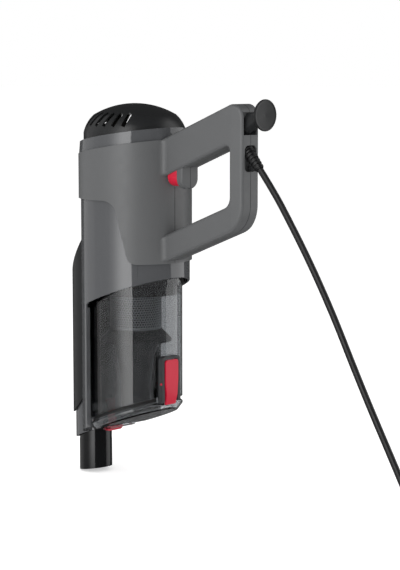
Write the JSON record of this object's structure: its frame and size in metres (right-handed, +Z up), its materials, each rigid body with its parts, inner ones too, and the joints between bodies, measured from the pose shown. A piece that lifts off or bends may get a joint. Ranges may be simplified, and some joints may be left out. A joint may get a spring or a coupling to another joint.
{
  "type": "handheld vacuum",
  "caption": "Upright handheld vacuum: barrel body with D handle, vented dome cap, clear cyclone dust cup, short inlet tube, cord hook and coiled mains cord.",
  "frame": {"origin": "on the inlet tube's axis, level with the lowest point of its mouth", "axes": "+Z up along the inlet tube and the barrel, +X back towards the handle, y = 0 is the plane of symmetry"},
  "size_m": [0.6369, 0.1983, 0.4378],
  "materials": {
    "black_pp": "fine moulded grain",
    "black_abs": "satin moulded",
    "gloss_grey": "polished moulding",
    "matte_grey": "fine spark-eroded grain",
    "latch_grey": "satin moulded",
    "red_abs": "satin moulded",
    "clear_smoke": "clear smoky moulding",
    "smoke_abs": "satin moulded",
    "seal_rubber": "soft matte",
    "mount_rubber": "soft matte",
    "filter_media": "pleated fleece",
    "foam": "open foam",
    "mesh_steel": "etched, fine holes",
    "steel_screws": "zinc plated",
    "bearing_steel": "ground",
    "spring_steel": "drawn wire",
    "motor_steel": "pressed, zinc plated",
    "lamination_steel": "stacked sheets",
    "fan_aluminium": "pressed sheet",
    "copper_wire": "enamelled wire",
    "copper_bar": "turned copper",
    "brass_sheet": "pressed sheet",
    "carbon": "pressed carbon",
    "switch_black": "moulded",
    "cord_pvc": "satin jacket",
    "plug_pvc": "moulded on",
    "pin_brass": "nickel plated",
    "tie_strap": "ribbed strap"
  },
  "bodies": {
    "root": {"inlet_tube": "black_pp", "duct_elbow": "black_pp", "port_gasket": "seal_rubber", "duct_cover": "black_abs", "front_shell": "gloss_grey", "housing_left": "matte_grey", "housing_right": "matte_grey", "housing_screws": "steel_screws", "exhaust_band": "gloss_grey", "exhaust_cap": "black_abs", "exhaust_filter_frame": "black_pp", "exhaust_filter": "filter_media", "intake_plate": "black_pp", "fan_housing": "motor_steel", "diffuser": "black_pp", "motor_frame_lower": "motor_steel", "motor_frame_upper": "motor_steel", "bearings": "bearing_steel", "stator_core": "lamination_steel", "field_coils": "copper_wire", "carbon_brushes": "carbon", "brush_holders": "brass_sheet", "motor_mount_lower": "mount_rubber", "motor_mount_upper": "mount_rubber", "motor_carrier": "black_pp", "trigger_spring": "spring_steel", "microswitch": "switch_black", "mains_lead": "cord_pvc", "cord_hook": "black_abs", "hook_screw": "steel_screws", "strain_relief": "cord_pvc", "cord_run": "cord_pvc", "cord_coil": "cord_pvc", "cord_tie": "tie_strap", "plug_body": "plug_pvc", "plug_pins": "pin_brass"},
    "rotor": {"impeller": "fan_aluminium", "rotor_shaft": "bearing_steel", "armature_core": "lamination_steel", "armature_windings": "copper_wire", "commutator": "copper_bar"},
    "trigger": {"trigger": "red_abs"},
    "switch_plunger": {"switch_plunger": "red_abs"},
    "cup": {"dust_cup": "clear_smoke", "cyclone_top": "black_pp", "premotor_filter": "foam", "cup_gasket": "seal_rubber", "shroud_mesh": "mesh_steel", "cyclone_cone": "smoke_abs", "inlet_chute": "black_pp", "lid_hinge_pin": "bearing_steel", "latch_frame": "latch_grey", "latch_pin": "red_abs", "latch_spring": "spring_steel", "rocker_pin": "bearing_steel", "rocker_spring": "spring_steel"},
    "lid": {"lid": "clear_smoke", "lid_gasket": "seal_rubber"},
    "lid_latch": {"latch_lever": "red_abs"},
    "cup_release": {"release_rocker": "red_abs"}
  },
  "joints": [
    {"name": "rotor_spin", "type": "hinge", "parent": "root", "child": "rotor", "pos_m": [0.07, 0, 0.3], "axis": [0, 0, 1], "continuous": true},
    {"name": "trigger_press", "type": "slide", "parent": "root", "child": "trigger", "axis": [0, 0, 1], "range_m": [0, 0.003], "stiffness_N_per_m": 900, "springref_m": -0.002, "deforming": ["trigger_spring"]},
    {"name": "plunger_travel", "type": "slide", "parent": "root", "child": "switch_plunger", "axis": [0, 0, 1], "range_m": [0, 0.0015]},
    {"name": "cup_slide", "type": "slide", "parent": "root", "child": "cup", "axis": [0, 0, -1], "range_m": [0, 0.055]},
    {"name": "lid_open", "type": "hinge", "parent": "cup", "child": "lid", "pos_m": [0.0405, 0, 0.0595], "axis": [0, 1, 0], "range_deg": [0, 85]},
    {"name": "latch_press", "type": "hinge", "parent": "cup", "child": "lid_latch", "pos_m": [0.126, 0, 0.119], "axis": [0, -1, 0], "range_deg": [0, 6], "stiffness_Nm_per_rad": 0.3, "springref_deg": -5.73},
    {"name": "release_press", "type": "hinge", "parent": "cup", "child": "cup_release", "pos_m": [0.0284, 0, 0.0705], "axis": [0, 1, 0], "range_deg": [0, 7], "stiffness_Nm_per_rad": 0.3, "springref_deg": -5.73}
  ],
  "couplings": [
    {"joint": "plunger_travel", "follows": "trigger_press", "ratio": 0.5}
  ]
}
